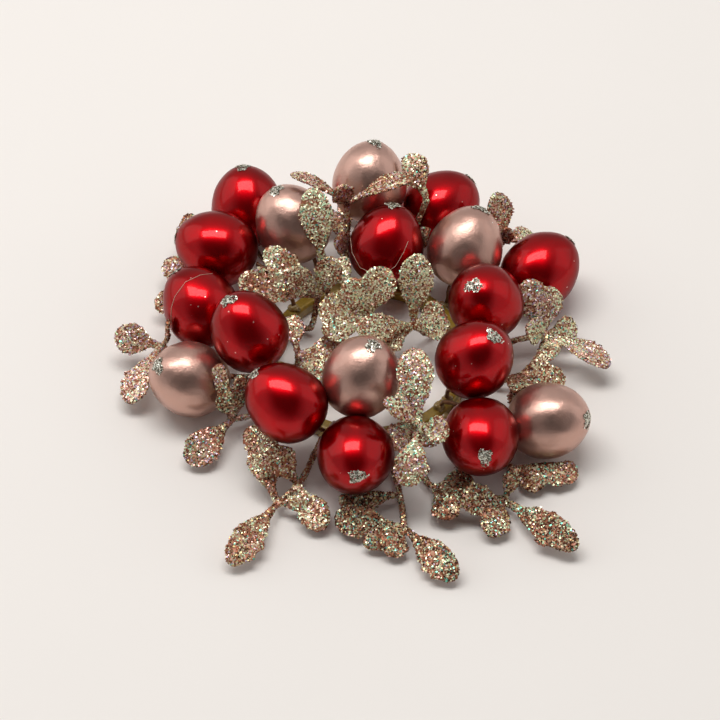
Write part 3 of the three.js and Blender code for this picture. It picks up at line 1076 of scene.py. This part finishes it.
def make_room(brightness, dark_side):
    """A pale room that is dark on the camera's side."""
    world = bpy.data.worlds.new("room")
    world.use_nodes = True
    tree = world.node_tree
    towards = tree.nodes.new("ShaderNodeVectorMath")
    towards.operation = "DOT_PRODUCT"
    tree.links.new(tree.nodes.new("ShaderNodeTexCoord").outputs["Generated"], towards.inputs[0])
    towards.inputs[1].default_value = dark_side
    beyond = math_node(tree, "SUBTRACT", towards.outputs["Value"], 0.55)
    dark = math_node(tree, "MULTIPLY", beyond, 3.0, True)
    light = math_node(tree, "SUBTRACT", 1.0, math_node(tree, "MULTIPLY", dark, 0.92))
    background = tree.nodes["Background"]
    background.inputs["Color"].default_value = (1.0, 0.985, 0.97, 1)
    tree.links.new(math_node(tree, "MULTIPLY", light, brightness), background.inputs["Strength"])
    return world


class WREATH_OT_stage(bpy.types.Operator):
    """Sets up the paper floor, the soft lights and the camera"""

    bl_idname = "wreath.stage"
    bl_label = "Stage"

    def execute(self, context):
        settings = context.scene.wreath_stage
        deselect()
        bpy.ops.mesh.primitive_plane_add(size=6, location=(0, 0, CAD_BOX[0].z))
        floor = context.object
        floor.name = "floor"
        settle(floor)
        floor.data.materials.append(paper_floor(settings.floor))

        back = Vector((0, -math.cos(settings.elevation), math.sin(settings.elevation)))
        context.scene.world = make_room(settings.room, back)
        context.scene.view_settings.view_transform = "Standard"

        warm = (1.0, 0.975, 0.95)
        above, middle = (-0.16, 0.14, 1.0), (0, 0, 0)
        beneath = (above[0], above[1], 0)
        left, right = (-1.2, 0.5, 0.7), (1.3, 0.3, 0.7)
        add_panel_light("overhead_softbox", above, beneath, (0.9, 0.4), settings.overhead, warm)
        add_panel_light("left_panel", left, middle, (1.2, 1.2), settings.sides, warm)
        add_panel_light("right_panel", right, middle, (1.2, 1.2), settings.sides * 0.5, warm)

        lens, sensor = 200.0, 36.0
        camera_data = bpy.data.cameras.new("camera")
        camera_data.lens = lens
        camera_data.sensor_width = sensor
        camera_data.clip_start = 0.01
        camera_data.clip_end = 20
        camera = bpy.data.objects.new("camera", camera_data)
        distance = settings.frame_width * lens / sensor
        target = ring_size()[0] + Vector((-1.9, -8.3, 12)) * MM
        camera.location = target + back * distance
        camera.rotation_euler = (-back).to_track_quat("-Z", "Y").to_euler()
        context.scene.collection.objects.link(camera)
        context.scene.camera = camera
        return {"FINISHED"}


class WREATH_PT_panel(bpy.types.Panel):
    """Lists the wreath's settings and the buttons that build it"""

    bl_idname = "WREATH_PT_panel"
    bl_label = "Mistletoe wreath"
    bl_space_type = "VIEW_3D"
    bl_region_type = "UI"
    bl_category = "Wreath"

    def draw(self, context):
        layout = self.layout
        for name in ("wreath_berries", "wreath_glitter", "wreath_stage"):
            group = getattr(context.scene, name)
            column = layout.column(align=True)
            for setting in group.__annotations__:
                column.prop(group, setting)
        for operator in OPERATORS:
            layout.operator(operator.bl_idname)


SETTINGS = (
    ("wreath_berries", WreathBerries),
    ("wreath_glitter", WreathGlitter),
    ("wreath_stage", WreathStage),
)
OPERATORS = (
    WREATH_OT_berries,
    WREATH_OT_tip_glitter,
    WREATH_OT_sprigs,
    WREATH_OT_sprig_glitter,
    WREATH_OT_ring,
    WREATH_OT_wires,
    WREATH_OT_glue,
    WREATH_OT_stage,
)


def register():
    for name, group in SETTINGS:
        bpy.utils.register_class(group)
        setattr(bpy.types.Scene, name, PointerProperty(type=group))
    for operator in OPERATORS:
        bpy.utils.register_class(operator)
    bpy.utils.register_class(WREATH_PT_panel)


def unregister():
    bpy.utils.unregister_class(WREATH_PT_panel)
    for operator in reversed(OPERATORS):
        bpy.utils.unregister_class(operator)
    for name, group in reversed(SETTINGS):
        delattr(bpy.types.Scene, name)
        bpy.utils.unregister_class(group)


def main():
    register()
    bpy.ops.wreath.berries()
    bpy.ops.wreath.tip_glitter()
    bpy.ops.wreath.sprigs()
    bpy.ops.wreath.sprig_glitter()
    bpy.ops.wreath.ring()
    bpy.ops.wreath.wires()
    bpy.ops.wreath.glue()
    bpy.ops.wreath.stage()


if __name__ == "__main__":
    main()
